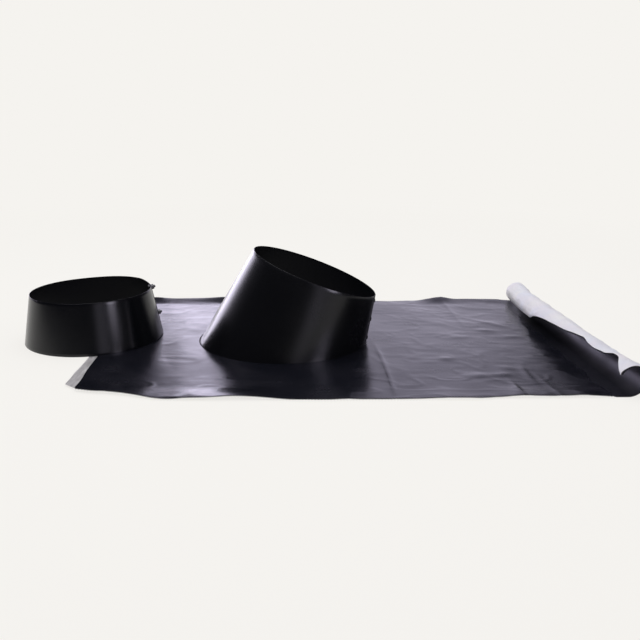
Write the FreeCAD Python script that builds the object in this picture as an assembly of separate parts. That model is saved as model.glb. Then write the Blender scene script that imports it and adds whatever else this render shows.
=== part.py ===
"""Pipe flashing boot for a pitched roof, with the storm collar that belongs on its pipe.

The boot is a rolled steel cone with a flange, bonded under a pliable apron. The apron's upper
end is curled over, and both of its ends carry a butyl strip behind a release liner. The storm
collar is off the pipe and stands with one side on the apron's lower end.

Frame: millimetres. The origin is where the pipe's axis meets the roof, +X runs up the roof,
+Y across it, and +Z is the roof's normal. The pipe leans towards +X by the roof's pitch.
"""
import FreeCAD, Part
import math
import os

# Pipe and roof
PIPE_DIAMETER = 250.0
ROOF_PITCH = 20.0

# Cone
CONE_AIR_GAP = 13.7  # between the pipe and the cone's mouth, inside
CONE_AXIS_LENGTH = 165.0  # from the roof plane to the mouth, along the pipe
CONE_HALF_ANGLE = 10.7
CONE_STEEL = 0.8
FLANGE_WIDTH = 28.0
LAP_WIDTH = 20.0  # where the rolled sheet laps over itself
LAP_AZIMUTH = -12.0  # about the pipe's axis, from the upslope side
RIVET_HEAD_DIAMETER = 8.0
RIVET_HEAD_HEIGHT = 1.2
RIVET_SHANK_DIAMETER = 4.0
RIVET_TAIL_DIAMETER = 6.0
RIVET_TAIL_HEIGHT = 2.0
RIVET_COUNT = 3
RIVET_END_MARGIN = 12.0  # from the mouth to the first rivet, and from the last to the apron
RIVET_CLEARANCE = 0.1

# Apron and what is stuck under it
APRON_WIDTH = 700.0
APRON_LOWER_REACH = 191.0  # from the cone's foot to the lower edge
APRON_UPPER_REACH = 429.0  # from the cone's foot to where the curl leaves the roof
APRON_THICKNESS = 2.0
HOLE_CLEARANCE = 0.3
LINER_THICKNESS = 0.3
BUTYL_THICKNESS = 1.0
LOWER_STRIP_WIDTH = 80.0
STRIP_SIDE_MARGIN = 3.0
SEALANT_SETBACK = 3.0  # from the flange's rim to the sealant's
LINER_LIP = 21.0  # how far the lower liner sticks out for the fingers
LINER_LIP_SKEW = 16.0  # how obliquely its ends are torn

# Packing creases across the apron: distance up the roof from the cone's foot, rise, half width
CREASES = (
    (19.0, 3.0, 14.0),
    (241.0, 6.0, 38.0),
    (301.0, 2.5, 21.0),
)

# The curl at the upper end, where the apron stays rolled over its own top
CURL_RADIUS = 28.5  # outside, over the liner
CURL_TIP_GAP = 1.5  # between the tucked end and the flat apron under it
UPPER_STRIP_WIDTH = 114.0
# The free edge climbs across the apron: share of the half width, share of the curl's height
CURL_EDGE = (
    (1.10, 0.08),
    (0.50, 0.30),
    (0.16, 0.66),
    (-0.10, 0.82),
    (-0.45, 0.93),
    (-0.75, 0.94),
    (-1.10, 0.74),
)

# Storm collar
COLLAR_FIT = 0.0  # between the pipe and the collar's top edge
COLLAR_FLARE = 19.3  # how much wider the foot is than the top, on the radius
COLLAR_HEIGHT = 105.0
COLLAR_STEEL = 0.8
COLLAR_LAP_START = 11.0  # azimuths of the overlapped ends
COLLAR_LAP_END = 50.0
COLLAR_REACH = 106.0  # how far its foot reaches over the apron's lower edge
COLLAR_SIDE_SHIFT = 23.0  # off the boot's centre line
COLLAR_SEAT_GAP = 0.05
SCREW_AZIMUTH = 22.0
SCREW_HEIGHTS = {"upper": 97.5, "lower": 38.0}
SCREW_DIAMETER = 6.0
SCREW_HOLE_DIAMETER = 6.6
SCREW_HEAD_DIAMETER = 12.0
SCREW_HEAD_HEIGHT = 3.6
SCREW_PROTRUSION = 3.5  # beyond the nut
WASHER_DIAMETER = 12.0
WASHER_THICKNESS = 1.2
NUT_ACROSS_FLATS = 10.0
NUT_HEIGHT = 5.0
NUT_BORE_DIAMETER = 6.1

# Worked out from the above
ORIGIN = FreeCAD.Vector(0, 0, 0)
AXIS_X = FreeCAD.Vector(1, 0, 0)
AXIS_Y = FreeCAD.Vector(0, 1, 0)
AXIS_Z = FreeCAD.Vector(0, 0, 1)
PITCH = math.radians(ROOF_PITCH)
TAPER = math.tan(math.radians(CONE_HALF_ANGLE))
CONE_WALL = CONE_STEEL / math.cos(math.radians(CONE_HALF_ANGLE))  # across the axis
MOUTH_RADIUS = PIPE_DIAMETER / 2 + CONE_AIR_GAP
STACK = LINER_THICKNESS + BUTYL_THICKNESS  # what lies between roof and apron
HALF_WIDTH = APRON_WIDTH / 2
FAR = 4 * (MOUTH_RADIUS + CONE_AXIS_LENGTH)  # larger than the whole cone


def cone_radius(along_axis):
    """Outer radius of the cone, at a distance up the pipe from the roof plane."""
    return MOUTH_RADIUS + (CONE_AXIS_LENGTH - along_axis) * TAPER


def foot_ellipse():
    """Centre and half axes of the cone's outline in the roof plane."""
    root = cone_radius(0) * math.sin(PITCH)
    upper_s = root / (math.cos(PITCH) + TAPER * math.sin(PITCH))
    lower_s = -root / (math.cos(PITCH) - TAPER * math.sin(PITCH))
    upper_x = upper_s * math.sin(PITCH) + cone_radius(upper_s) * math.cos(PITCH)
    lower_x = lower_s * math.sin(PITCH) - cone_radius(lower_s) * math.cos(PITCH)
    centre_x = (upper_x + lower_x) / 2
    centre_radius = cone_radius(centre_x * math.sin(PITCH))
    half_y = math.sqrt(centre_radius**2 - (centre_x * math.cos(PITCH)) ** 2)
    return centre_x, (upper_x - lower_x) / 2, half_y


FOOT_X, FOOT_HALF_X, FOOT_HALF_Y = foot_ellipse()
APRON_LOWER_X = FOOT_X - FOOT_HALF_X - APRON_LOWER_REACH
CURL_X = FOOT_X + FOOT_HALF_X + APRON_UPPER_REACH
APRON_TOP = STACK + APRON_THICKNESS
CURL_END = 180 + math.degrees(math.asin(1 - (APRON_TOP + CURL_TIP_GAP) / CURL_RADIUS))


def sector(start, end, low, height):
    """Wedge about the Z axis between two azimuths, larger than any ring here."""
    corners = [FreeCAD.Vector(0, 0, low)]
    for azimuth in (start, (start + end) / 2, end):
        turn = math.radians(azimuth)
        corners.append(FreeCAD.Vector(FAR * math.cos(turn), FAR * math.sin(turn), low))
    corners.append(corners[0])
    return Part.Face(Part.makePolygon(corners)).extrude(AXIS_Z * height)


def above_roof(shape):
    """Keep what lies above the roof plane."""
    return shape.common(Part.makeBox(2 * FAR, 2 * FAR, FAR, FreeCAD.Vector(-FAR, -FAR, 0)))


def leaned(shape):
    """Turn a shape made about the Z axis onto the leaning pipe."""
    turned = shape.copy()
    turned.rotate(ORIGIN, AXIS_Y, ROOF_PITCH)
    return turned


# Cone


def cone_body(grown, beyond=0.0):
    """Solid cone about the Z axis, its radius grown, run on past the mouth."""
    low = -cone_radius(0)
    high = CONE_AXIS_LENGTH + beyond
    at_low = FreeCAD.Vector(0, 0, low)
    return Part.makeCone(cone_radius(low) + grown, cone_radius(high) + grown, high - low, at_low, AXIS_Z)


def cone_lap(grown):
    """Outer layer of the lap seam, about the Z axis, grown all round."""
    half_turn = math.degrees((LAP_WIDTH / 2 + grown) / MOUTH_RADIUS)
    wedge = sector(LAP_AZIMUTH - half_turn, LAP_AZIMUTH + half_turn, -FAR / 2, FAR)
    return cone_body(CONE_WALL + grown).common(wedge)


def cone_envelope(grown):
    """What passes through the apron, with room round it."""
    return leaned(cone_body(grown).fuse(cone_lap(grown)))


def flange_plate(low, high, setback):
    """Elliptical plate under the apron round the cone's foot, without its opening."""
    half_x = FOOT_HALF_X + FLANGE_WIDTH - setback
    half_y = FOOT_HALF_Y + FLANGE_WIDTH - setback
    ellipse = Part.Ellipse(FreeCAD.Vector(FOOT_X, 0, low), max(half_x, half_y), min(half_x, half_y))
    return Part.Face(Part.Wire(ellipse.toShape())).extrude(AXIS_Z * (high - low))


def rivet_stations():
    """Distance up the pipe of each rivet, spread evenly over the seam above the apron."""
    slope = math.cos(math.radians(LAP_AZIMUTH)) * math.tan(PITCH)
    seam_foot = (cone_radius(0) + CONE_WALL) * slope / (1 + TAPER * slope)
    lowest = seam_foot + APRON_TOP / math.cos(PITCH) + RIVET_END_MARGIN
    pitch = (CONE_AXIS_LENGTH - RIVET_END_MARGIN - lowest) / (RIVET_COUNT - 1)
    return [lowest + pitch * i for i in range(RIVET_COUNT)]


def on_cone(shape, along_axis):
    """Set a shape made on the Z axis square to the lap's outer face at a rivet's place."""
    placed = shape.copy()
    placed.rotate(ORIGIN, AXIS_Y, 90 - CONE_HALF_ANGLE)
    placed.translate(FreeCAD.Vector(cone_radius(along_axis) + CONE_WALL, 0, along_axis))
    placed.rotate(ORIGIN, AXIS_Z, LAP_AZIMUTH)
    return leaned(placed)


def flat_rivet():
    """Rivet along Z: its head stands on z = 0 and its tail closes under two layers."""
    head = RIVET_HEAD_DIAMETER / 2
    shank = RIVET_SHANK_DIAMETER / 2
    tail = RIVET_TAIL_DIAMETER / 2
    grip = 2 * CONE_STEEL + RIVET_CLEARANCE
    outline = [
        FreeCAD.Vector(0, 0, RIVET_HEAD_HEIGHT),
        FreeCAD.Vector(head, 0, RIVET_HEAD_HEIGHT),
        FreeCAD.Vector(head, 0, 0),
        FreeCAD.Vector(shank, 0, 0),
        FreeCAD.Vector(shank, 0, -grip),
        FreeCAD.Vector(tail, 0, -grip),
        FreeCAD.Vector(tail, 0, -grip - RIVET_TAIL_HEIGHT),
        FreeCAD.Vector(0, 0, -grip - RIVET_TAIL_HEIGHT),
    ]
    return Part.Face(Part.makePolygon(outline + outline[:1])).revolve(ORIGIN, AXIS_Z, 360)


def cone_shell():
    """Rolled cone with its lap seam and the rivet holes, open at both ends."""
    shell = above_roof(cone_envelope(0)).cut(leaned(cone_body(-CONE_WALL, beyond=RIVET_END_MARGIN)))
    drill = Part.makeCylinder(
        RIVET_SHANK_DIAMETER / 2 + RIVET_CLEARANCE,
        8 * CONE_STEEL,
        FreeCAD.Vector(0, 0, -4 * CONE_STEEL),
    )
    for along_axis in rivet_stations():
        shell = shell.cut(on_cone(drill, along_axis))
    return shell.removeSplitter()


def cone_flange():
    """Flat flange welded round the cone's foot."""
    return flange_plate(0, CONE_STEEL, 0).cut(cone_envelope(0))


def seam_rivets():
    """The rivets of the lap seam, as a group of separate solids."""
    return Part.makeCompound([on_cone(flat_rivet(), s) for s in rivet_stations()])


def flange_sealant():
    """Butyl bed between the flange and the apron, round the cone."""
    ring = flange_plate(CONE_STEEL, STACK, SEALANT_SETBACK)
    return ring.cut(cone_envelope(HOLE_CLEARANCE))


# Apron


def side_point(x, z):
    """Point of a side view drawn along the apron's near edge."""
    return FreeCAD.Vector(x, -HALF_WIDTH, z)


def across(outline_edges):
    """Carry a closed side view across the whole apron."""
    return Part.Face(Part.Wire(outline_edges)).extrude(AXIS_Y * APRON_WIDTH)


def flat_underside():
    """Underside of the flat apron with its creases, from the lower edge to the curl."""
    points = [side_point(APRON_LOWER_X, STACK)]
    for distance, rise, half_width in CREASES:
        ridge_x = FOOT_X + FOOT_HALF_X + distance
        points.append(side_point(ridge_x - half_width, STACK))
        points.append(side_point(ridge_x, STACK + rise))
        points.append(side_point(ridge_x + half_width, STACK))
    points.append(side_point(CURL_X, STACK))
    return points


def curl_point(depth, angle):
    """Point of the curl at a depth inside its outer face."""
    radius = CURL_RADIUS - depth
    turn = math.radians(angle)
    return side_point(CURL_X + radius * math.cos(turn), CURL_RADIUS + radius * math.sin(turn))


def curl_arc(depth, start, end):
    """Arc of the curl between two angles, at a depth inside its outer face."""
    through = curl_point(depth, (start + end) / 2)
    return Part.Arc(curl_point(depth, start), through, curl_point(depth, end)).toShape()


def free_edge_trimmer():
    """What is missing of the curl's tucked side: all below the climbing free edge."""
    low_z = APRON_TOP + CURL_TIP_GAP / 2
    near_x = CURL_X - 2 * CURL_RADIUS
    edge_points = []
    for share_y, share_z in CURL_EDGE:
        edge_points.append(FreeCAD.Vector(near_x, share_y * HALF_WIDTH, share_z * 2 * CURL_RADIUS))
    climb = Part.BSplineCurve()
    climb.interpolate(edge_points)
    back_corner = FreeCAD.Vector(near_x, edge_points[0].y, low_z)
    front_corner = FreeCAD.Vector(near_x, edge_points[-1].y, low_z)
    base = Part.makePolygon([edge_points[-1], front_corner, back_corner, edge_points[0]])
    outline = Part.Wire([climb.toShape()] + base.Edges)
    return Part.Face(outline).extrude(AXIS_X * 2 * CURL_RADIUS)


def curl_layer(outside, inside):
    """One layer of the strip on the curl, between two depths, back from the free edge."""
    start = CURL_END - math.degrees(UPPER_STRIP_WIDTH / CURL_RADIUS)
    outline = [
        curl_arc(outside, start, CURL_END),
        Part.makeLine(curl_point(outside, CURL_END), curl_point(inside, CURL_END)),
        curl_arc(inside, CURL_END, start),
        Part.makeLine(curl_point(inside, start), curl_point(outside, start)),
    ]
    return across(outline).cut(free_edge_trimmer())


def apron():
    """The whole pliable sheet: flat part, creases and curl, with the hole for the cone."""
    underside = flat_underside()
    upperside = [point + AXIS_Z * APRON_THICKNESS for point in reversed(underside)]
    outline = Part.makePolygon(underside).Edges
    outline.append(curl_arc(STACK, -90, CURL_END))
    outline.append(Part.makeLine(curl_point(STACK, CURL_END), curl_point(APRON_TOP, CURL_END)))
    outline.append(curl_arc(APRON_TOP, CURL_END, -90))
    outline.extend(Part.makePolygon(upperside + underside[:1]).Edges)
    return across(outline).cut(free_edge_trimmer()).cut(cone_envelope(HOLE_CLEARANCE))


def butyl_strip_lower():
    """Adhesive strip under the apron's lower end."""
    corner = FreeCAD.Vector(APRON_LOWER_X, STRIP_SIDE_MARGIN - HALF_WIDTH, LINER_THICKNESS)
    return Part.makeBox(LOWER_STRIP_WIDTH, APRON_WIDTH - 2 * STRIP_SIDE_MARGIN, BUTYL_THICKNESS, corner)


def release_liner_lower():
    """Liner of the lower strip, with a lip that sticks out past the apron."""
    lip_x = APRON_LOWER_X - LINER_LIP
    inner_x = APRON_LOWER_X + LOWER_STRIP_WIDTH
    corners = [
        FreeCAD.Vector(inner_x, -HALF_WIDTH, 0),
        FreeCAD.Vector(inner_x, HALF_WIDTH, 0),
        FreeCAD.Vector(APRON_LOWER_X, HALF_WIDTH, 0),
        FreeCAD.Vector(lip_x, HALF_WIDTH - LINER_LIP_SKEW, 0),
        FreeCAD.Vector(lip_x, LINER_LIP_SKEW - HALF_WIDTH, 0),
        FreeCAD.Vector(APRON_LOWER_X, -HALF_WIDTH, 0),
    ]
    return Part.Face(Part.makePolygon(corners + corners[:1])).extrude(AXIS_Z * LINER_THICKNESS)


def butyl_strip_upper():
    """Adhesive strip on the outside of the curl, along the free edge."""
    return curl_layer(LINER_THICKNESS, STACK)


def release_liner_upper():
    """Liner of the upper strip, the outermost layer of the curl."""
    return curl_layer(0, LINER_THICKNESS)


# Storm collar

COLLAR_SLOPE = math.atan(COLLAR_FLARE / COLLAR_HEIGHT)
COLLAR_WALL = COLLAR_STEEL / math.cos(COLLAR_SLOPE)  # across the axis
COLLAR_TOP_RADIUS = PIPE_DIAMETER / 2 + COLLAR_FIT + COLLAR_WALL
COLLAR_FOOT_RADIUS = COLLAR_TOP_RADIUS + COLLAR_FLARE
COLLAR_X = APRON_LOWER_X + COLLAR_REACH - COLLAR_FOOT_RADIUS
COLLAR_LEFT_X = COLLAR_X - COLLAR_FOOT_RADIUS
COLLAR_RISE = STACK + APRON_THICKNESS + COLLAR_SEAT_GAP
COLLAR_TILT = math.degrees(math.atan2(COLLAR_RISE, APRON_LOWER_X - COLLAR_LEFT_X))


def collar_radius(height):
    """Outer radius of the collar's single layer at a height above its foot."""
    return COLLAR_FOOT_RADIUS - COLLAR_FLARE * height / COLLAR_HEIGHT


def collar_body(grown, beyond=0.0):
    """Solid frustum of the collar about the Z axis, grown, run on past both ends."""
    low = collar_radius(-beyond) + grown
    high = collar_radius(COLLAR_HEIGHT + beyond) + grown
    return Part.makeCone(low, high, COLLAR_HEIGHT + 2 * beyond, AXIS_Z * -beyond, AXIS_Z)


def as_it_stands(shape):
    """Lean the collar from the floor onto the apron's lower edge, at its place."""
    stood = shape.copy()
    stood.rotate(AXIS_X * -COLLAR_FOOT_RADIUS, FreeCAD.Vector(0, -1, 0), COLLAR_TILT)
    stood.translate(FreeCAD.Vector(COLLAR_X, COLLAR_SIDE_SHIFT, 0))
    return stood


def on_collar(shape, height):
    """Set a shape made on the Z axis square to the overlap's outer face at a screw's place."""
    placed = shape.copy()
    placed.rotate(ORIGIN, AXIS_Y, 90 - math.degrees(COLLAR_SLOPE))
    placed.translate(FreeCAD.Vector(collar_radius(height) + COLLAR_WALL, 0, height))
    placed.rotate(ORIGIN, AXIS_Z, SCREW_AZIMUTH)
    return as_it_stands(placed)


def storm_collar():
    """Band rolled to a frustum, its two ends overlapped and drilled for the clamp screws."""
    overlap = collar_body(COLLAR_WALL).common(sector(COLLAR_LAP_START, COLLAR_LAP_END, 0, COLLAR_HEIGHT))
    band = collar_body(0).fuse(overlap).cut(collar_body(-COLLAR_WALL, beyond=1.0))
    collar = as_it_stands(band.removeSplitter())
    drill = Part.makeCylinder(
        SCREW_HOLE_DIAMETER / 2,
        8 * COLLAR_STEEL,
        FreeCAD.Vector(0, 0, -4 * COLLAR_STEEL),
    )
    for height in SCREW_HEIGHTS.values():
        collar = collar.cut(on_collar(drill, height))
    return collar


def screw_head_drop(height):
    """Depth of the head's seat under the overlap's outer face: its rim meets the hollow wall."""
    inner_radius = collar_radius(height) - COLLAR_WALL
    hollow = inner_radius - math.sqrt(inner_radius**2 - (SCREW_HEAD_DIAMETER / 2) ** 2)
    return 2 * COLLAR_STEEL + hollow + COLLAR_SEAT_GAP


def collar_screw(height):
    """Flat-headed screw, put through from the inside."""
    seat = -screw_head_drop(height)
    tip = WASHER_THICKNESS + NUT_HEIGHT + SCREW_PROTRUSION
    shank = Part.makeCylinder(SCREW_DIAMETER / 2, tip - seat, AXIS_Z * seat)
    head = Part.makeCylinder(SCREW_HEAD_DIAMETER / 2, SCREW_HEAD_HEIGHT, AXIS_Z * (seat - SCREW_HEAD_HEIGHT))
    end = [edge for edge in shank.Edges if edge.BoundBox.ZMin > tip - NUT_HEIGHT]
    pointed = shank.makeChamfer(SCREW_DIAMETER / 10, end)
    return on_collar(pointed.fuse(head), height)


def collar_washer(height):
    """Plain washer on the outside of the overlap."""
    disc = Part.makeCylinder(WASHER_DIAMETER / 2, WASHER_THICKNESS)
    return on_collar(disc.cut(Part.makeCylinder(SCREW_HOLE_DIAMETER / 2, WASHER_THICKNESS)), height)


def collar_nut(height):
    """Hexagon nut against the washer."""
    corner = NUT_ACROSS_FLATS / math.sqrt(3)
    hexagon = []
    for i in range(7):
        turn = math.radians(60 * i)
        hexagon.append(FreeCAD.Vector(corner * math.cos(turn), corner * math.sin(turn), WASHER_THICKNESS))
    nut = Part.Face(Part.makePolygon(hexagon)).extrude(AXIS_Z * NUT_HEIGHT)
    bore = Part.makeCylinder(NUT_BORE_DIAMETER / 2, NUT_HEIGHT, AXIS_Z * WASHER_THICKNESS)
    return on_collar(nut.cut(bore), height)


def build():
    """Every node of the flashing, by name."""
    nodes = {
        "cone_shell": cone_shell(),
        "cone_flange": cone_flange(),
        "seam_rivets": seam_rivets(),
        "flange_sealant": flange_sealant(),
        "apron": apron(),
        "butyl_strip_lower": butyl_strip_lower(),
        "release_liner_lower": release_liner_lower(),
        "butyl_strip_upper": butyl_strip_upper(),
        "release_liner_upper": release_liner_upper(),
        "storm_collar": storm_collar(),
    }
    for place, height in SCREW_HEIGHTS.items():
        nodes["collar_screw_" + place] = collar_screw(height)
        nodes["collar_washer_" + place] = collar_washer(height)
        nodes["collar_nut_" + place] = collar_nut(height)
    return nodes


def main():
    os.makedirs("parts", exist_ok=True)
    for name, shape in build().items():
        shape.exportStep(os.path.join("parts", name + ".step"))
        box = shape.BoundBox
        print(
            f"{name:22s} solids {len(shape.Solids)} valid {shape.isValid()}"
            f" volume {shape.Volume:10.1f}"
            f" x {box.XMin:.1f} {box.XMax:.1f} y {box.YMin:.1f} {box.YMax:.1f} z {box.ZMin:.2f} {box.ZMax:.2f}"
        )


main()
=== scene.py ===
"""Looks of the pipe flashing boot: cone, pliable apron with its curled end, liners and storm collar.

Shapes are worked out in millimetres and made metres at the end, in the part's own frame: the
origin is where the pipe's axis meets the roof, +X runs up the roof, +Y across it and +Z is the
roof's normal.
"""
import bmesh
import bpy
import math
import numpy as np
from mathutils import Matrix, Vector


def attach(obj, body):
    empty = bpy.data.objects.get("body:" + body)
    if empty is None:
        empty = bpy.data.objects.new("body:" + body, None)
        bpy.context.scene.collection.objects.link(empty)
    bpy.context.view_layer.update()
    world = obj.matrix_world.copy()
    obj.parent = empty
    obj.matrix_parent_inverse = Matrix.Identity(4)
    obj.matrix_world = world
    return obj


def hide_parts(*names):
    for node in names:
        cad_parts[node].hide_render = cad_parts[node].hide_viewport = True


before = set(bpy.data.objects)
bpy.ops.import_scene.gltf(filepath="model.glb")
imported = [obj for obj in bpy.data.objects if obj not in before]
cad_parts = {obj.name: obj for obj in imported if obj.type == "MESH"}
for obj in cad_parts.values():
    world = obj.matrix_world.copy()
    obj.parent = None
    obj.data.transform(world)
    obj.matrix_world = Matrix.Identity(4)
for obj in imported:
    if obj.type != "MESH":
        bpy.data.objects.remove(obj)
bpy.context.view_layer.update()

MM = 0.001
ROOF_PITCH = math.radians(20.0)


# ---------------------------------------------------------------- helpers

def knots(table, column):
    """Smooth curve through one column of a table, as a function of its first column."""
    xs = np.array([row[0] for row in table], float)
    ys = np.array([row[column] for row in table], float)
    slopes = np.gradient(ys, xs)

    def curve(x):
        x = np.clip(np.asarray(x, float), xs[0], xs[-1])
        i = np.clip(np.searchsorted(xs, x, side="right") - 1, 0, len(xs) - 2)
        h = xs[i + 1] - xs[i]
        t = (x - xs[i]) / h
        return (
            ys[i] * (2 * t**3 - 3 * t**2 + 1)
            + slopes[i] * h * (t**3 - 2 * t**2 + t)
            + ys[i + 1] * (-2 * t**3 + 3 * t**2)
            + slopes[i + 1] * h * (t**3 - t**2)
        )

    return curve


def smoothstep(low, high, x):
    t = np.clip((np.asarray(x, float) - low) / (high - low), 0, 1)
    return t * t * (3 - 2 * t)


def value_noise(x, y, seed):
    """Smooth random field of unit wavelength, about -1 to 1, that repeats after 64."""
    period = 64
    table = np.random.RandomState(seed).uniform(-1, 1, (period, period))
    xi = np.floor(x).astype(int)
    yi = np.floor(y).astype(int)
    fx = smoothstep(0, 1, x - xi)
    fy = smoothstep(0, 1, y - yi)

    def at(i, j):
        return table[i % period, j % period]

    low = at(xi, yi) * (1 - fx) + at(xi + 1, yi) * fx
    high = at(xi, yi + 1) * (1 - fx) + at(xi + 1, yi + 1) * fx
    return low * (1 - fy) + high * fy


def mesh_object(name, bm):
    """Object in the scene with a bmesh as its mesh."""
    mesh = bpy.data.meshes.new(name)
    bm.to_mesh(mesh)
    bm.free()
    thing = bpy.data.objects.new(name, mesh)
    bpy.context.scene.collection.objects.link(thing)
    return thing


def make_piece(name, bm, materials, sharp, node):
    """Turn a bmesh in millimetres into the piece that stands for a node.

    Faces that meet at more than sharp degrees show an edge.
    """
    bmesh.ops.recalc_face_normals(bm, faces=bm.faces[:])
    bmesh.ops.scale(bm, vec=(MM, MM, MM), verts=bm.verts[:])
    for face in bm.faces:
        face.smooth = True
    piece = mesh_object(name, bm)
    piece.data.set_sharp_from_angle(angle=math.radians(sharp))
    for material in materials:
        piece.data.materials.append(material)
    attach(piece, "root")
    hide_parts(node)


def laid_sheet(under, lift, keep=None):
    """Flat grid moved onto its underside's points, then pulled along lift into a closed sheet."""
    rows, columns = under.shape[:2]
    bm = bmesh.new()
    pull = bm.verts.layers.float_vector.new("pull")
    bmesh.ops.create_grid(bm, x_segments=columns - 1, y_segments=rows - 1, size=0.5)
    bm.verts.index_update()
    cells = []
    for vert in bm.verts:
        cell = (round((vert.co.y + 0.5) * (rows - 1)), round((vert.co.x + 0.5) * (columns - 1)))
        cells.append(cell)
        vert.co = under[cell]
        vert[pull] = lift[cell]
    if keep is not None:
        gone = [face for face in bm.faces if not keep[min(cells[v.index] for v in face.verts)]]
        bmesh.ops.delete(bm, geom=gone, context="FACES")
    drawn = bmesh.ops.extrude_face_region(bm, geom=bm.faces[:], use_keep_orig=True)
    for vert in drawn["geom"]:
        if isinstance(vert, bmesh.types.BMVert):
            vert.co += vert[pull]
    return bm


# ---------------------------------------------------------------- materials

def shader(name):
    """New surface: its material, node tree, main shader and place on the part."""
    material = bpy.data.materials.new(name)
    material.use_nodes = True
    tree = material.node_tree
    bsdf = tree.nodes["Principled BSDF"]
    return material, tree, bsdf, add(tree, "ShaderNodeTexCoord").outputs["Object"]


def add(tree, kind, **values):
    """New node, with its settings."""
    node = tree.nodes.new(kind)
    for key, value in values.items():
        setattr(node, key, value)
    return node


def noise(tree, source, scale, detail=3.0, roughness=0.5, stretch=None):
    """Cloudy pattern; stretch scales it on each axis."""
    if stretch is not None:
        mapping = add(tree, "ShaderNodeMapping")
        mapping.inputs["Scale"].default_value = stretch
        tree.links.new(source, mapping.inputs["Vector"])
        source = mapping.outputs["Vector"]
    node = add(tree, "ShaderNodeTexNoise")
    node.inputs["Scale"].default_value = scale
    node.inputs["Detail"].default_value = detail
    node.inputs["Roughness"].default_value = roughness
    tree.links.new(source, node.inputs["Vector"])
    return node.outputs["Fac"]


def spread(tree, source, low, high, from_low=0.3, from_high=0.7):
    """A value between from_low and from_high, brought to between low and high."""
    node = add(tree, "ShaderNodeMapRange")
    node.inputs["From Min"].default_value = from_low
    node.inputs["From Max"].default_value = from_high
    node.inputs["To Min"].default_value = low
    node.inputs["To Max"].default_value = high
    tree.links.new(source, node.inputs["Value"])
    return node.outputs["Result"]


def blend_colour(tree, factor, first, second):
    """Mix of two colours, each a plain colour or another node's output."""
    node = add(tree, "ShaderNodeMix", data_type="RGBA")
    tree.links.new(factor, node.inputs[0])
    for socket, colour in ((node.inputs[6], first), (node.inputs[7], second)):
        if isinstance(colour, tuple):
            socket.default_value = (*colour, 1)
        else:
            tree.links.new(colour, socket)
    return node.outputs[2]


def bump(tree, height, strength, distance, normal=None):
    """Normal that follows a height, on top of another normal where one is given."""
    node = add(tree, "ShaderNodeBump")
    node.inputs["Strength"].default_value = strength
    node.inputs["Distance"].default_value = distance
    tree.links.new(height, node.inputs["Height"])
    if normal is not None:
        tree.links.new(normal, node.inputs["Normal"])
    return node.outputs["Normal"]


def wire(tree, bsdf, colour, roughness, normal):
    """Join the three outputs that every finish has to its main shader."""
    tree.links.new(colour, bsdf.inputs["Base Color"])
    tree.links.new(roughness, bsdf.inputs["Roughness"])
    tree.links.new(normal, bsdf.inputs["Normal"])


def powder_coat(name, colour, gloss, sheen):
    """Black powder coat: fine orange peel and faint handling marks."""
    material, tree, bsdf, place = shader(name)
    cloud = noise(tree, place, 9.0, 4.0)
    peel = noise(tree, place, 900.0, 2.0)
    dent = noise(tree, place, 7.0, 1.0)
    tint = tuple(c * 1.5 for c in colour)
    soft = bump(tree, dent, 0.25, 0.004)
    wire(tree, bsdf, blend_colour(tree, cloud, colour, tint),
         spread(tree, cloud, gloss - 0.03, gloss + 0.04), bump(tree, peel, 0.05, 0.0002, soft))
    bsdf.inputs["Specular IOR Level"].default_value = sheen
    return material


def rubber_sheet(name):
    """Black pliable sheet, half gloss: blotchy sheen, fine pressed grain, small wrinkles.

    It grows duller towards the upper end, where it is stretched round the curl.
    """
    material, tree, bsdf, place = shader(name)
    cloud = noise(tree, place, 11.0, 5.0, 0.6)
    blotch = noise(tree, place, 6.5, 5.0, 0.6, stretch=(1.2, 1.9, 1.0))
    wrinkle = noise(tree, place, 19.0, 3.0, 0.5, stretch=(0.7, 1.25, 1.0))
    grain = noise(tree, place, 700.0, 2.0)
    pressed = bump(tree, wrinkle, 0.12, 0.003)
    split = add(tree, "ShaderNodeSeparateXYZ")
    tree.links.new(place, split.inputs[0])
    dull = add(tree, "ShaderNodeMath", operation="ADD")
    tree.links.new(spread(tree, blotch, 0.16, 0.29), dull.inputs[0])
    tree.links.new(spread(tree, split.outputs["X"], 0, 0.34, 0.560, 0.610), dull.inputs[1])
    wire(tree, bsdf,
         blend_colour(tree, spread(tree, cloud, 0, 1), (0.004, 0.005, 0.009), (0.010, 0.010, 0.015)),
         dull.outputs[0], bump(tree, grain, 0.10, 0.0003, pressed))
    bsdf.inputs["Specular IOR Level"].default_value = 0.75
    bsdf.inputs["Specular Tint"].default_value = (0.87, 0.84, 1.0, 1)
    return material


def release_paper(name):
    """White coated paper: faint cool and warm areas, small crumples."""
    material, tree, bsdf, place = shader(name)
    cloud = noise(tree, place, 14.0, 3.0)
    warm = noise(tree, place, 23.0, 2.0)
    crumple = noise(tree, place, 60.0, 4.0, 0.6)
    cool = blend_colour(tree, spread(tree, cloud, 0, 1), (0.80, 0.83, 0.95), (0.95, 0.94, 0.95))
    wire(tree, bsdf, blend_colour(tree, spread(tree, warm, 0.0, 0.6), cool, (0.92, 0.85, 0.90)),
         spread(tree, cloud, 0.42, 0.55), bump(tree, crumple, 0.7, 0.004))
    return material


def release_film(name):
    """Pale grey release film with stretch streaks; the streaks' lighter and darker colour is painted light
    and shade of its folds.
    """
    material, tree, bsdf, place = shader(name)
    folds_and_painted_shade = noise(tree, place, 30.0, 4.0, 0.6, stretch=(3.0, 0.6, 1.0))
    # The colour swings from dark to pale along the streaks: painted shade and light on the folds, which the
    # bump also raises.
    wire(tree, bsdf,
         blend_colour(tree, spread(tree, folds_and_painted_shade, 0, 1), (0.32, 0.30, 0.31), (0.76, 0.74, 0.75)),
         spread(tree, folds_and_painted_shade, 0.30, 0.45), bump(tree, folds_and_painted_shade, 0.35, 0.0015))
    return material


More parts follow.
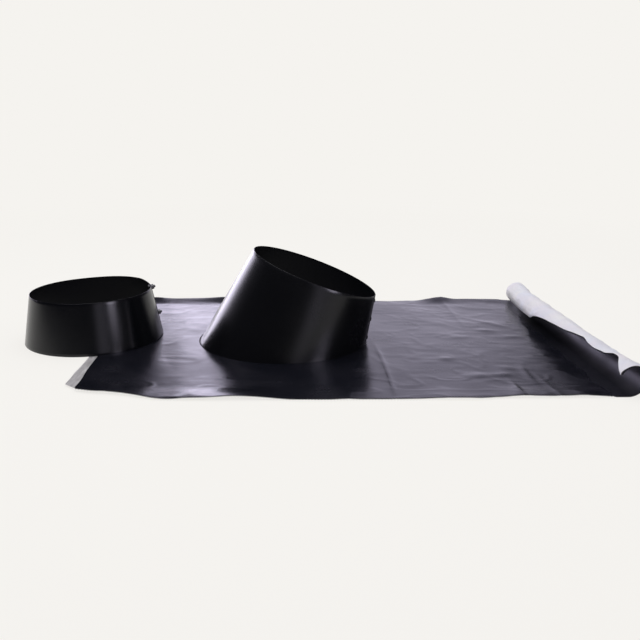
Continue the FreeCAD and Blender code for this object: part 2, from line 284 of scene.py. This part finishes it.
def butyl_compound(name):
    """Tacky black butyl, dull with a pulled texture."""
    material, tree, bsdf, place = shader(name)
    pull = noise(tree, place, 120.0, 3.0)
    wire(tree, bsdf, blend_colour(tree, pull, (0.012, 0.012, 0.013), (0.028, 0.027, 0.028)),
         spread(tree, pull, 0.45, 0.65), bump(tree, pull, 0.4, 0.0006))
    return material


def stainless(name):
    """Dull stainless fastener, with turning marks and darker patches here and there."""
    material, tree, bsdf, place = shader(name)
    turned = noise(tree, place, 900.0, 2.0)
    stain = noise(tree, place, 160.0, 3.0)
    wire(tree, bsdf,
         blend_colour(tree, spread(tree, stain, 0, 1), (0.07, 0.07, 0.075), (0.16, 0.16, 0.165)),
         spread(tree, turned, 0.28, 0.42), bump(tree, turned, 0.15, 0.0001))
    bsdf.inputs["Metallic"].default_value = 1.0
    return material


CONE_COAT = powder_coat("cone coat", (0.0036, 0.0038, 0.0050), 0.24, 0.30)
COLLAR_COAT = powder_coat("collar coat", (0.0025, 0.0028, 0.0042), 0.20, 0.32)
# Darker, duller copy of the powder coat with less sheen, for the inner faces: painted shade inside the cone
# and collar.
SHADED_INSIDE_COAT = powder_coat("shaded inside coat", (0.0022, 0.0024, 0.0038), 0.48, 0.08)
RIVET_COAT = powder_coat("rivet coat", (0.0045, 0.0047, 0.0060), 0.26, 0.30)
SHEET = rubber_sheet("apron sheet")
PAPER = release_paper("release paper")
FILM = release_film("release film")
BUTYL = butyl_compound("butyl")
STEEL = stainless("stainless")


# ---------------------------------------------------------------- rolled steel

STEEL_GAUGE = 0.8
WALL = 0.814         # nominal wall, a hair over the gauge so that the CAD shell stays inside
RIM = 0.35           # how far from a rolled edge its rounding starts
OUTER_SIDE = 0.4     # points nearer than this to the outer face belong to the outer layer
LAP_END = 0.0015     # half the width of the step at a lap's end, in radians
STEEL_SHARP = 40     # bend in degrees past which steel shows an edge
# corners of the rounded edges: how far in from the outer face and, on the rim, how far down from the top
RIM_CORNERS = ((0.12, 0.08), (0.30, 0.0), (0.50, 0.0), (0.70, 0.08))
FOOT_CORNERS = (0.55, 0.25)


def wall_section(radius_at, low, high, steps):
    """Closed section of a thin wall with rounded edges: radius and height of each corner."""
    outer = [(radius_at(z), z) for z in np.linspace(low + RIM, high - RIM, steps)]
    rim = [(radius_at(high) - inward, high - drop) for inward, drop in RIM_CORNERS]
    inner = [(radius_at(z) - WALL, z) for z in np.linspace(high - RIM, low + RIM, steps)]
    foot = [(radius_at(low) - inward, low) for inward in FOOT_CORNERS]
    return outer + rim + inner + foot


def rolled_band(radius_at, low, high, steps, turns, lap, bow, creep=None):
    """Band rolled round Z from its section, with one end lapped over the other.

    steps and turns: how many corners there are up the wall and how many steps round it;
    lap: azimuths of the lap's two ends; bow: how far the wall bows out at an azimuth;
    creep: how far the rim rides up at an azimuth in degrees.
    """
    bm = bmesh.new()
    corners = [bm.verts.new((radius, 0, z)) for radius, z in wall_section(radius_at, low, high, steps)]
    outline = [bm.edges.new(pair) for pair in zip(corners, corners[1:] + corners[:1])]
    bmesh.ops.spin(
        bm, geom=corners + outline, cent=(0, 0, 0), axis=(0, 0, 1),
        angle=2 * math.pi, steps=turns, use_merge=True,
    )
    for end in lap:
        for azimuth in (end - LAP_END, end + LAP_END):
            everything = bm.verts[:] + bm.edges[:] + bm.faces[:]
            across = (-math.sin(azimuth), math.cos(azimuth), 0)
            bmesh.ops.bisect_plane(bm, geom=everything, dist=1e-5, plane_co=(0, 0, 0), plane_no=across)
    # Faces on the inner side take the second finish, the darker copy that paints shade inside the band.
    for face in bm.faces:
        centre = face.calc_center_median()
        inside = radius_at(centre.z) - math.hypot(centre.x, centre.y) > OUTER_SIDE
        face.material_index = 1 if inside else 0
    middle = sum(lap) / 2
    half = (lap[1] - lap[0]) / 2
    for vert in bm.verts:
        radius = math.hypot(vert.co.x, vert.co.y)
        azimuth = math.atan2(vert.co.y, vert.co.x)
        away = abs((azimuth - middle + math.pi) % (2 * math.pi) - math.pi)
        share = min(max((vert.co.z - low) / (high - low), 0), 1)
        grown = bow(azimuth) * math.sin(math.pi * share)
        if radius_at(vert.co.z) - radius < OUTER_SIDE:
            grown += STEEL_GAUGE * (1 - float(smoothstep(half - LAP_END, half + LAP_END, away)))
        vert.co.x *= 1 + grown / radius
        vert.co.y *= 1 + grown / radius
        if creep is not None:
            vert.co.z += creep(math.degrees(azimuth)) * share**2
    return bm


MOUTH_RADIUS = 138.7
AXIS_LENGTH = 165.0
BELOW_ROOF = -95.0   # how far down the cone is rolled before the roof cuts it off
TAPER = math.tan(math.radians(10.7))
CONE_SEAM = math.radians(-12.0)
CONE_LAP = 20.0      # width of the lap, round the mouth
CONE_LAP_HALF = CONE_LAP / 2 / MOUTH_RADIUS
CONE_STEPS = (36, 240)       # corners up the wall and steps round it


def cone_radius(height):
    return MOUTH_RADIUS + (AXIS_LENGTH - height) * TAPER


def cone_bow(azimuth):
    """How far the cone is out of round."""
    return 0.10 * math.sin(3 * azimuth + 0.6) + 0.06 * math.sin(7 * azimuth)


def make_cone():
    """Rolled cone, leant onto the pipe and cut off along the roof."""
    lap = (CONE_SEAM - CONE_LAP_HALF, CONE_SEAM + CONE_LAP_HALF)
    bm = rolled_band(cone_radius, BELOW_ROOF, AXIS_LENGTH, *CONE_STEPS, lap, cone_bow)
    bmesh.ops.rotate(bm, verts=bm.verts[:], cent=(0, 0, 0), matrix=Matrix.Rotation(ROOF_PITCH, 3, "Y"))
    everything = bm.verts[:] + bm.edges[:] + bm.faces[:]
    bmesh.ops.bisect_plane(
        bm, geom=everything, dist=1e-5, plane_co=(0, 0, 0), plane_no=(0, 0, 1), clear_inner=True
    )
    bmesh.ops.bridge_loops(bm, edges=[edge for edge in bm.edges if edge.is_boundary])
    make_piece("cone_body", bm, (CONE_COAT, SHADED_INSIDE_COAT), STEEL_SHARP, "cone_shell")


PIPE_RADIUS = 125.0
COLLAR_HEIGHT = 105.0
COLLAR_FLARE = 19.3
COLLAR_TOP = PIPE_RADIUS + WALL
COLLAR_CREEP = 4.0
COLLAR_STEPS = (21, 220)
COLLAR_LAP = (math.radians(11.0), math.radians(50.0))
COLLAR_PLACE = (-424.24, 23.0)        # middle of its foot, along X and Y
COLLAR_TILT = math.radians(1.0306)


def collar_radius(height):
    return COLLAR_TOP + COLLAR_FLARE * (1 - height / COLLAR_HEIGHT)


def collar_bow(azimuth):
    """How far the collar is out of round."""
    return 0.12 * math.sin(2 * azimuth + 0.4) + 0.08 * math.sin(5 * azimuth)


def collar_creep(degrees):
    """The outer end of the band has crept up a little against the inner one."""
    return COLLAR_CREEP * float(smoothstep(120, 52, degrees) * smoothstep(22, 50, degrees))


def make_collar():
    """Storm collar: one edge stands on the floor and the other on the apron's edge."""
    bm = rolled_band(
        collar_radius, 0.0, COLLAR_HEIGHT, *COLLAR_STEPS, COLLAR_LAP, collar_bow, collar_creep
    )
    foot = (-COLLAR_TOP - COLLAR_FLARE, 0, 0)
    bmesh.ops.rotate(bm, verts=bm.verts[:], cent=foot, matrix=Matrix.Rotation(-COLLAR_TILT, 3, "Y"))
    bmesh.ops.translate(bm, verts=bm.verts[:], vec=(*COLLAR_PLACE, 0))
    make_piece("collar_band", bm, (COLLAR_COAT, SHADED_INSIDE_COAT), STEEL_SHARP, "storm_collar")


# ---------------------------------------------------------------- apron

STACK = 1.3           # butyl and liner under the sheet
SHEET_THICK = 2.0
FLOOR_GAP = 0.15
HALF_WIDTH = 350.0
LOWER_EDGE = -385.0
STRIP_END = -306.0    # where the strip under the lower edge ends
STRIP_FADE = 91.0     # how far on the sheet comes down from the strip
FRONT_REACH = 62.0    # how far in a lifted edge raises the sheet
BACK_REACH = 46.0
LYING = 0.9           # an edge no higher than this is taken as flat
SETTLE = 45.0         # stretch before the curl over which the sheet settles on its strip
CONE_X = -12.5        # middle of the cone's foot
FLANGE_HALF = (209.6, 198.3)
FLANGE_FADE = (0.97, 1.45)      # where the sheet comes down from the flange, in ovals of its size
FOOT_HALF = (182.0, 172.0)
FOOT_HOLD = (1.0, 1.25)         # where the cone stops holding the sheet down, in the same way

# along the front edge: x, plan y, how far its underside is off the floor
FRONT = (
    (-385, -301, 4.5), (-351, -311, 4.3), (-318, -316, 4.2), (-285, -325, 4.0), (-262, -333, 3.5),
    (-235, -342, 2.6), (-208, -345, 2.5), (-183, -346, 4.2), (-137, -347, 5.2), (-105, -347, 6.9),
    (-73, -347, 5.9), (-43, -348, 4.1), (-11, -349, 1.6), (17, -350, 0.2), (48, -350, 0.1),
    (69, -350, 0.8), (95, -350, 1.8), (130, -350, 0.8), (165, -350, 0.2), (198, -350, 0.2),
    (223, -350, 0.8), (252, -350, 2.0), (298, -350, 2.3), (334, -350, 1.5), (370, -348, 2.4),
    (409, -347, 4.6), (445, -347, 4.3), (481, -347, 4.0), (518, -347, 5.1), (553, -347, 3.6),
    (600, -347, 1.0),
)
# along the back edge
BACK = (
    (-385, 341, 7.0), (-352, 343, 8.5), (-299, 342, 5.8), (-236, 342, 7.2), (-205, 342, 8.8),
    (-173, 342, 10.9), (-120, 342, 9.0), (-40, 343, 4.0), (60, 344, 1.5), (160, 342, 0.8),
    (230, 337, 0.5), (261, 334, 0.3), (311, 338, 0.6), (345, 341, 1.5), (374, 342, 6.0),
    (396, 342, 9.5), (417, 342, 8.2), (442, 342, 5.2), (496, 342, 4.7), (546, 342, 4.4), (600, 342, 0.5),
)
# across the curl: y, x where it leaves the floor, radius low down, radius above, angle of the free edge
CURL = (
    (-350, 601, 33.0, 26.5, 250), (-335, 601, 33.0, 26.5, 238), (-318, 601, 32.5, 26.5, 218),
    (-300, 601, 32.0, 27.0, 196), (-284, 600.5, 31.0, 27.5, 186), (-275, 600, 30.8, 27.8, 189),
    (-268, 600, 30.5, 28.0, 203), (-250, 599.5, 30.3, 28.2, 211), (-237, 599, 30.0, 28.3, 214),
    (-199, 598.5, 29.6, 28.5, 213), (-162, 598, 29.3, 28.6, 203), (-140, 598, 29.2, 28.6, 209),
    (-101, 597.5, 29.0, 28.5, 221), (-27, 597, 29.0, 28.5, 234), (48, 597, 28.8, 28.3, 249),
    (80, 597.5, 28.6, 28.2, 262), (95, 597.5, 28.5, 28.0, 276), (135, 598.5, 28.0, 27.5, 286),
    (180, 600, 27.0, 26.5, 291), (260, 605, 25.0, 24.6, 304), (350, 610.5, 23.2, 22.8, 320),
)

front_y = knots(FRONT, 1)
front_z = knots(FRONT, 2)
back_y = knots(BACK, 1)
back_z = knots(BACK, 2)
curl_x = knots(CURL, 1)
curl_low = knots(CURL, 2)
curl_high = knots(CURL, 3)
curl_end = knots(CURL, 4)


def lower_edge(y):
    """The lower edge runs in a little at its near corner."""
    return LOWER_EDGE + 4.0 * smoothstep(-215, -345, y)


def round_cone(x, y, half):
    """1 on the oval round the cone's foot that has these half lengths, 0 in its middle."""
    return np.hypot((x - CONE_X) / half[0], y / half[1])


def ridge(distance, half):
    """Sharp-topped fold, 1 on its line."""
    return np.exp(-np.abs(distance) / half)


def edge_lift(x, y):
    """How far the lifted front and back edges raise what lies at a place."""
    front = np.clip((y - front_y(x)) / FRONT_REACH, 0, 1)
    back = np.clip((back_y(x) - y) / BACK_REACH, 0, 1)
    return (
        np.maximum(front_z(x) - LYING, 0) * (1 - front) ** 2 * (1 + 2 * front)
        + np.maximum(back_z(x) - LYING, 0) * (1 - back) ** 2.2 * (1 + 1.4 * back)
    )


def crumples(x, y, seed, sharpness):
    """Short creases where a random field crosses nought, 0 to 1."""
    return np.maximum(1 - np.abs(value_noise(x, y, seed)) - sharpness, 0) / (1 - sharpness)


# short pinched wrinkles: x, y, half length, half width, height, and how far turned from X in degrees
PINCHES = (
    (453, 59, 22, 10, 1.8, -8), (501, 11, 30, 10, 1.4, 0), (475, 122, 56, 10, 1.6, -45),
    (318, -140, 14, 10, 1.5, 0), (358, -240, 22, 12, 1.8, 10), (408, -235, 20, 10, 1.4, 0),
    (425, -196, 16, 10, 1.2, 0), (382, 5, 20, 10, 1.1, 0), (510, -135, 40, 10, 1.3, 0),
    (411, -306, 30, 6, 1.8, 90), (454, -230, 45, 7, 1.2, 90), (-178, 40, 45, 11, 1.4, -38),
)


def pinches(x, y):
    """Height of the short wrinkles."""
    z = 0 * x
    for centre_x, centre_y, half_length, half_width, height, degrees in PINCHES:
        c, s = math.cos(math.radians(degrees)), math.sin(math.radians(degrees))
        along = (x - centre_x) * c + (y - centre_y) * s
        over = (y - centre_y) * c - (x - centre_x) * s
        z = z + height * np.exp(-((along / half_length) ** 2) - (over / half_width) ** 2)
    return z


def looseness(x, y):
    """0 where the cone holds the sheet down, 1 away from it."""
    return smoothstep(*FOOT_HOLD, round_cone(x, y, FOOT_HALF))


def packing_folds(x, y):
    """Height of the folds that packing has left across the sheet.

    Each is worked out from how far a place is from the fold's line, along X.
    """
    beside_cone = x - (188 - 0.00019 * (y + 205) ** 2)
    before_curl = x - 411
    near_corner = x - (470 - 0.06 * (y + 200))
    return (
        looseness(x, y) * 2.0 * ridge(beside_cone, 5.0) * smoothstep(60, -60, y) * smoothstep(-350, -300, y)
        + 2.6 * ridge(before_curl, 12.0) * (0.12 + 0.88 * smoothstep(-120, 330, y))
        + 0.9 * ridge(near_corner, 8.0) * smoothstep(-180, -290, y)
    )


def waves(x, y):
    """Height of the wide waves, the short wrinkles and the small crumples."""
    swell = value_noise(x / 120.0, y / 95.0, 3) * 0.9 + value_noise(x / 64.0, y / 56.0, 5) * 0.4
    fine = 0.45 * crumples(x / 52.0 + 0.0075 * y, y / 25.0, 11, 0.76) * smoothstep(150, 260, x)
    broad = 0.35 * crumples(x / 70.0, y / 36.0 + 0.005 * x, 17, 0.8)
    return np.maximum(swell + 0.35, -0.1) + pinches(x, y) + fine + broad


def relief(x, y):
    """Height of the flat part's underside over the floor: folds, waves and lifted edges."""
    over_flange = 1 - smoothstep(*FLANGE_FADE, round_cone(x, y, FLANGE_HALF))
    over_strip = 1 - smoothstep(STRIP_END, STRIP_END + STRIP_FADE, x)
    lying = STACK * np.maximum(over_flange, over_strip) + FLOOR_GAP + edge_lift(x, y)
    return lying + packing_folds(x, y) + looseness(x, y) * waves(x, y)


MIDDLE = (-252, 330)      # between these the rows are evenly spread
FLAT_COLUMNS = 355
CURL_COLUMNS = 52
SUBSTEPS = 4              # steps of the curl's line to each column
CURL_CHANGE = (55, 125)   # turn over which the curl's radius changes, in degrees
TOOTH = 2.2
SOFT_SHARP = 50           # bend in degrees past which rubber and butyl show an edge


def sheet_rows():
    """Rows of the sheet from the near edge to the far one, closer together near the edges."""
    near = np.arange(-HALF_WIDTH, MIDDLE[0], 4.2)
    far = (335, 340, 345, HALF_WIDTH)
    return np.concatenate([near, np.linspace(*MIDDLE, 80), far])


def curl_line(y0, leave):
    """Underside of the sheet round the curl, as x and z, from the floor to the free edge."""
    turn = np.linspace(0, math.radians(float(curl_end(y0))), CURL_COLUMNS * SUBSTEPS + 1)
    mix = smoothstep(*np.radians(CURL_CHANGE), turn)
    radius = curl_low(y0) * (1 - mix) + curl_high(y0) * mix
    travel = (radius[1:] + radius[:-1]) / 2 * np.diff(turn)
    angle = (turn[1:] + turn[:-1]) / 2
    x = leave + np.concatenate([[0], np.cumsum(travel * np.cos(angle))]) - STACK * np.sin(turn)
    z = np.concatenate([[0], np.cumsum(travel * np.sin(angle))]) + STACK * np.cos(turn)
    return x[SUBSTEPS::SUBSTEPS], z[SUBSTEPS::SUBSTEPS]


def sheet_grid(rows):
    """Underside of the apron, row by row."""
    grid = np.zeros((len(rows), FLAT_COLUMNS + CURL_COLUMNS, 3))
    for r, y0 in enumerate(rows):
        leave = float(curl_x(y0))
        across = (y0 + HALF_WIDTH) / (2 * HALF_WIDTH)
        x = np.linspace(lower_edge(y0), leave, FLAT_COLUMNS)
        y = front_y(x) * (1 - across) + back_y(x) * across
        settle = smoothstep(leave - SETTLE, leave, x)
        z = relief(x, y) * (1 - settle) + STACK * settle
        round_x, round_z = curl_line(y0, leave)
        grid[r, :FLAT_COLUMNS] = np.stack([x, y, z], 1)
        grid[r, FLAT_COLUMNS:] = np.stack([round_x, y[-1] + 0 * round_x, round_z], 1)
    return grid


def grid_normals(grid):
    """Unit normals of a grid, towards the sheet's top face."""
    normal = np.cross(np.gradient(grid, axis=1), np.gradient(grid, axis=0))
    return normal / np.maximum(np.linalg.norm(normal, axis=2, keepdims=True), 1e-9)


HOLE_X = -12.6        # middle of the opening at the cone's foot
HOLE_HALF = (181.9, 170.6)


def open_hole(grid):
    """Pull the points next to the hole onto its outline and say which squares stay."""
    out = grid.copy()
    half_x, half_y = HOLE_HALF
    dx = (grid[:, :, 0] - HOLE_X) / half_x
    dy = grid[:, :, 1] / half_y
    size = np.maximum(np.hypot(dx, dy), 1e-6)
    inside = size < 1
    inside[:, FLAT_COLUMNS:] = False
    keep = ~(inside[:-1, :-1] & inside[1:, :-1] & inside[:-1, 1:] & inside[1:, 1:])
    near = np.zeros_like(inside)
    for dr in (0, 1):
        for dc in (0, 1):
            near[dr:dr + keep.shape[0], dc:dc + keep.shape[1]] |= keep
    pulled = inside & near
    out[pulled, 0] = (HOLE_X + dx / size * half_x)[pulled]
    out[pulled, 1] = (dy / size * half_y)[pulled]
    return out, keep


def make_apron(grid, normal):
    """Pliable sheet with pinked long edges and an opening at the cone's foot."""
    under = grid.copy()
    pinked = np.where(np.arange(grid.shape[1]) % 2 == 0, TOOTH, -TOOTH)
    under[0, :, 1] += pinked
    under[-1, :, 1] += pinked
    under, keep = open_hole(under)
    laid = laid_sheet(under, normal * SHEET_THICK, keep)
    make_piece("apron_sheet", laid, (SHEET,), SOFT_SHARP, "apron")


# ---------------------------------------------------------------- strips and liners

CURL_STRIP = 114.0    # width of the strip on the curl
BUTYL_THICK = 1.0
PAPER_THICK = STACK - BUTYL_THICK
PAPER_STEP = 2.6      # about how far round the curl one column of the paper goes
CRUMPLE = 2.0
FAR_END_LIFT = 7.0    # how far the paper has come off the roll at its far end
LINER_SHARP = 60      # bend in degrees past which paper and film show an edge


def make_curl_strip(rows, grid, normal):
    """Butyl and its paper, wrapped round the outside of the curl from the free edge back.

    The paper is loose on the butyl wherever it isn't pressed on the floor.
    """
    steps = np.linalg.norm(np.diff(grid, axis=1), axis=2)[:, ::-1]
    columns = max(int(np.searchsorted(np.cumsum(row), CURL_STRIP)) for row in steps)
    first = grid.shape[1] - 1 - columns
    sheet = grid[:, first:]
    outward = -normal[:, first:]
    laid = laid_sheet(sheet, outward * BUTYL_THICK)
    make_piece("butyl_on_curl", laid, (BUTYL,), SOFT_SHARP, "butyl_strip_upper")

    along = np.arange(sheet.shape[1])[None, :] * PAPER_STEP
    across = rows[:, None]
    wave = value_noise(along / 24.0, across / 36.0, 31) + 0.6 * value_noise(along / 10.0, across / 14.0, 32)
    share = np.linspace(0, 1, sheet.shape[1])[None, :]
    open_end = smoothstep(225, 350, across) * np.sin(math.pi * share) ** 2
    loose = CRUMPLE * np.maximum(wave, 0) + FAR_END_LIFT * open_end
    clear_of_floor = smoothstep(-0.7, 0.1, outward[:, :, 2])
    under = sheet + outward * (BUTYL_THICK + loose * clear_of_floor)[:, :, None]
    laid = laid_sheet(under, outward * PAPER_THICK)
    make_piece("paper_on_curl", laid, (PAPER,), LINER_SHARP, "release_liner_upper")


LOWER_BUTYL = (-299, 338)     # where the strip starts and ends along Y
BUTYL_INSET = 2.0
BUTYL_HEIGHT = 0.35
LOWER_FILM = (-300, 350)
FILM_LIP = -406.0             # where the film's lip ends along X
FILM_HEIGHT = 0.05
FILM_THICK = 0.25


def butyl_edge(y):
    return lower_edge(y) + BUTYL_INSET


def butyl_height(x, y):
    return BUTYL_HEIGHT


def film_edge(y):
    """The lip's edge wanders, and its two corners are cut off askew."""
    outer = FILM_LIP + 3.0 * value_noise(np.array([y / 60.0]), np.array([0.5]), 41)[0]
    return outer + max(0.0, -y - 275.0) * 1.05 + max(0.0, y - 334.0)


def film_height(x, y):
    """The lip ripples where it is free."""
    ripple = 1.6 * smoothstep(-375, FILM_LIP, x) * np.abs(value_noise(x / 15.0, y / 26.0 + 0 * x, 43))
    return FILM_HEIGHT + ripple


def lower_strip(reach, rows, columns, edge_at, height_at, thick):
    """Strip under the lower edge, lifted with the apron's own edges."""
    under = np.zeros((rows, columns, 3))
    for r, y in enumerate(np.linspace(*reach, rows)):
        x = np.linspace(edge_at(y), STRIP_END, columns)
        under[r] = np.stack([x, y + 0 * x, height_at(x, y) + edge_lift(x, y)], 1)
    return laid_sheet(under, np.broadcast_to((0, 0, thick), under.shape))


def make_lower_strip():
    """Butyl under the lower edge, and the grey film lip that sticks out past it."""
    laid = lower_strip(LOWER_BUTYL, 90, 18, butyl_edge, butyl_height, BUTYL_THICK)
    make_piece("butyl_under_edge", laid, (BUTYL,), SOFT_SHARP, "butyl_strip_lower")
    laid = lower_strip(LOWER_FILM, 110, 22, film_edge, film_height, FILM_THICK)
    make_piece("film_lip", laid, (FILM,), LINER_SHARP, "release_liner_lower")


make_cone()
make_collar()
ROWS = sheet_rows()
GRID = sheet_grid(ROWS)
NORMAL = grid_normals(GRID)
make_apron(GRID, NORMAL)
make_curl_strip(ROWS, GRID, NORMAL)
make_lower_strip()


# ---------------------------------------------------------------- carried-over pieces

def dress(node, material):
    """Finish for a CAD piece that keeps its own shape."""
    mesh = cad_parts[node].data
    mesh.materials.clear()
    mesh.materials.append(material)


dress("cone_flange", CONE_COAT)
dress("seam_rivets", RIVET_COAT)
dress("flange_sealant", BUTYL)
for place in ("upper", "lower"):
    for kind in ("screw", "washer", "nut"):
        dress(f"collar_{kind}_{place}", STEEL)


# ---------------------------------------------------------------- stage

PALE = (0.913, 0.896, 0.863)
PALE_NEAR = (0.960, 0.942, 0.907)      # makes up for the floor's own shade near the part
GLOW_SHARE = 0.80                      # how much of the near floor's look is its own pale colour
SKY = (0.90, 0.90, 0.93)
SKY_LEVEL = 0.55
FLOOR_PLACE = (0, 0, -0.0003)
LAMP_PLACE = (-0.3, 0.3, 2.6)
LAMP_SIZE = 2.4
LAMP_POWER = 31
CARD_COLOUR = (0.94, 0.89, 1.08)
CARD_FOOT = 1.3                        # share of a curved card's level at its foot
CARD_FALL = 0.9                        # how much of it is lost by its head
EYE = (-0.0112, -1.5135, 0.474)
DOWNWARD, ROLL, TURN = (math.radians(a) for a in (15.8, 0.75, 3.0))
LENS = 40.5


def background_seen(tree):
    """1 for rays from the camera and for those that metal and glass send on."""
    path = add(tree, "ShaderNodeLightPath")
    seen = path.outputs["Is Camera Ray"]
    for ray in ("Is Glossy Ray", "Is Transmission Ray"):
        node = add(tree, "ShaderNodeMath", operation="MAXIMUM")
        tree.links.new(seen, node.inputs[0])
        tree.links.new(path.outputs[ray], node.inputs[1])
        seen = node.outputs[0]
    return seen


def stage_surface(thing):
    """Empty material on a stage object: its node tree and the socket that its look goes to."""
    material = bpy.data.materials.new(thing.name)
    material.use_nodes = True
    thing.data.materials.append(material)
    tree = material.node_tree
    tree.nodes.clear()
    return tree, add(tree, "ShaderNodeOutputMaterial").inputs["Surface"]


def make_floor():
    """Pale floor that keeps the part's shadow, evened out into the background far away."""
    bm = bmesh.new()
    bmesh.ops.create_grid(bm, x_segments=1, y_segments=1, size=30.0)
    floor = mesh_object("floor", bm)
    floor.location = FLOOR_PLACE
    tree, surface = stage_surface(floor)
    diffuse = add(tree, "ShaderNodeBsdfDiffuse")
    diffuse.inputs["Color"].default_value = (*PALE, 1)
    reach = add(tree, "ShaderNodeVectorMath", operation="LENGTH")
    tree.links.new(add(tree, "ShaderNodeTexCoord").outputs["Object"], reach.inputs[0])
    far = spread(tree, reach.outputs["Value"], 0, 1, 0.9, 2.6)
    glow = add(tree, "ShaderNodeEmission")
    tree.links.new(blend_colour(tree, far, PALE_NEAR, PALE), glow.inputs["Color"])
    factor = add(tree, "ShaderNodeMath", operation="MULTIPLY")
    tree.links.new(background_seen(tree), factor.inputs[0])
    tree.links.new(spread(tree, far, GLOW_SHARE, 1.0, 0, 1), factor.inputs[1])
    mix = add(tree, "ShaderNodeMixShader")
    tree.links.new(factor.outputs[0], mix.inputs[0])
    tree.links.new(diffuse.outputs[0], mix.inputs[1])
    tree.links.new(glow.outputs[0], mix.inputs[2])
    tree.links.new(mix.outputs[0], surface)


def make_world():
    """Even soft light, and the pale background for what is seen directly or mirrored."""
    world = bpy.data.worlds.new("studio")
    bpy.context.scene.world = world
    world.use_nodes = True
    tree = world.node_tree
    tree.nodes.clear()
    out = add(tree, "ShaderNodeOutputWorld")
    mix = add(tree, "ShaderNodeMixShader")
    tree.links.new(background_seen(tree), mix.inputs[0])
    for socket, colour, strength in ((1, SKY, SKY_LEVEL), (2, PALE, 1.0)):
        sky = add(tree, "ShaderNodeBackground")
        sky.inputs["Color"].default_value = (*colour, 1)
        sky.inputs["Strength"].default_value = strength
        tree.links.new(sky.outputs[0], mix.inputs[socket])
    tree.links.new(mix.outputs[0], out.inputs["Surface"])


def make_lamp():
    """Large soft box overhead."""
    light = bpy.data.lights.new("top", "AREA")
    light.shape = "SQUARE"
    light.size = LAMP_SIZE
    light.energy = LAMP_POWER
    lamp = bpy.data.objects.new("top", light)
    lamp.location = LAMP_PLACE
    lamp.rotation_euler = (-lamp.location).to_track_quat("-Z", "Y").to_euler()
    lamp.visible_camera = False
    bpy.context.scene.collection.objects.link(lamp)


def show_card(name, bm, level_at):
    """Studio card outside the view that only gloss picks up; level_at gives its brightness."""
    panel = mesh_object(name, bm)
    layer = panel.data.attributes.new("level", "FLOAT", "POINT")
    layer.data.foreach_set("value", [level_at(vert.co) for vert in panel.data.vertices])
    tree, surface = stage_surface(panel)
    glow = add(tree, "ShaderNodeEmission")
    glow.inputs["Color"].default_value = (*CARD_COLOUR, 1)
    level = add(tree, "ShaderNodeAttribute", attribute_name="level")
    tree.links.new(level.outputs["Fac"], glow.inputs["Strength"])
    tree.links.new(glow.outputs[0], surface)
    panel.visible_camera = False
    panel.visible_diffuse = False
    panel.visible_shadow = False
    panel.visible_transmission = False


def curved_card(name, radius, low, high, levels):
    """Upright card bent round the part: levels gives azimuth in degrees and brightness.

    The card is brighter at its foot than at its head.
    """
    azimuths, shades = np.array(levels, float).T
    first = azimuths[0]
    sweep = azimuths[-1] - first
    start = math.radians(first)
    bm = bmesh.new()
    ends = [bm.verts.new((radius * math.cos(start), radius * math.sin(start), z)) for z in (low, high)]
    bmesh.ops.spin(
        bm, geom=ends + [bm.edges.new(ends)], cent=(0, 0, 0), axis=(0, 0, 1),
        angle=math.radians(sweep), steps=round(sweep / 2),
    )

    def level_at(co):
        past = (math.degrees(math.atan2(co.y, co.x)) - first + 0.01) % 360 - 0.01
        share = (co.z - low) / (high - low)
        return float(np.interp(first + past, azimuths, shades)) * (CARD_FOOT - CARD_FALL * share)

    show_card(name, bm, level_at)


def ceiling_card(name, radius, height, level):
    """Round card overhead, of one brightness."""
    bm = bmesh.new()
    bmesh.ops.create_circle(bm, cap_ends=True, segments=48, radius=radius)
    bmesh.ops.translate(bm, verts=bm.verts[:], vec=(0, 0, height))
    show_card(name, bm, lambda co: level)


def make_camera():
    """Eye level over the near edge, looking along +Y and a little down."""
    ahead = Vector((
        math.cos(DOWNWARD) * math.sin(TURN), math.cos(DOWNWARD) * math.cos(TURN), -math.sin(DOWNWARD),
    ))
    level = Vector((math.cos(TURN), -math.sin(TURN), 0))
    above = level.cross(ahead)
    right = math.cos(ROLL) * level + math.sin(ROLL) * above
    up = -math.sin(ROLL) * level + math.cos(ROLL) * above
    data = bpy.data.cameras.new("camera")
    data.sensor_width = 36.0
    data.lens = LENS
    data.clip_start = 0.05
    data.clip_end = 200
    camera = bpy.data.objects.new("camera", data)
    place = Matrix((right, up, -ahead)).transposed().to_4x4()
    place.translation = EYE
    camera.matrix_world = place
    bpy.context.scene.collection.objects.link(camera)
    bpy.context.scene.camera = camera


make_floor()
make_world()
curved_card("card_dark", 3.0, 0.0, 3.0, (
    (-192, 0.10), (-180, 0.03), (-84, 0.03), (-76, 0.8), (-66, 0.7), (-58, 0.03),
    (40, 0.03), (56, 0.15), (59, 0.5), (62, 0.65), (64, 0.75), (66, 0.9),
    (70, 1.0), (74, 0.95), (84, 0.9), (88, 0.95), (94, 0.10), (168, 0.10),
))
curved_card("card_back", 2.7, 0.2, 1.6, ((84, 1.0), (88, 1.0), (92, 1.4), (97, 2.9), (104, 2.9)))
curved_card("card_left", 2.7, 0.0, 0.85, (
    (104, 2.6), (110, 6.0), (134, 6.0), (142, 2.0), (150, 0.8), (168, 0.15), (172, 0.1),
))
curved_card("card_side", 2.9, 0.5, 1.8, ((-57, 0.03), (-52, 10.0), (-43, 10.0), (-38, 0.03)))
ceiling_card("card_over", 3.2, 3.0, 0.3)
make_lamp()
make_camera()

scene = bpy.context.scene
scene.view_settings.view_transform = "Standard"
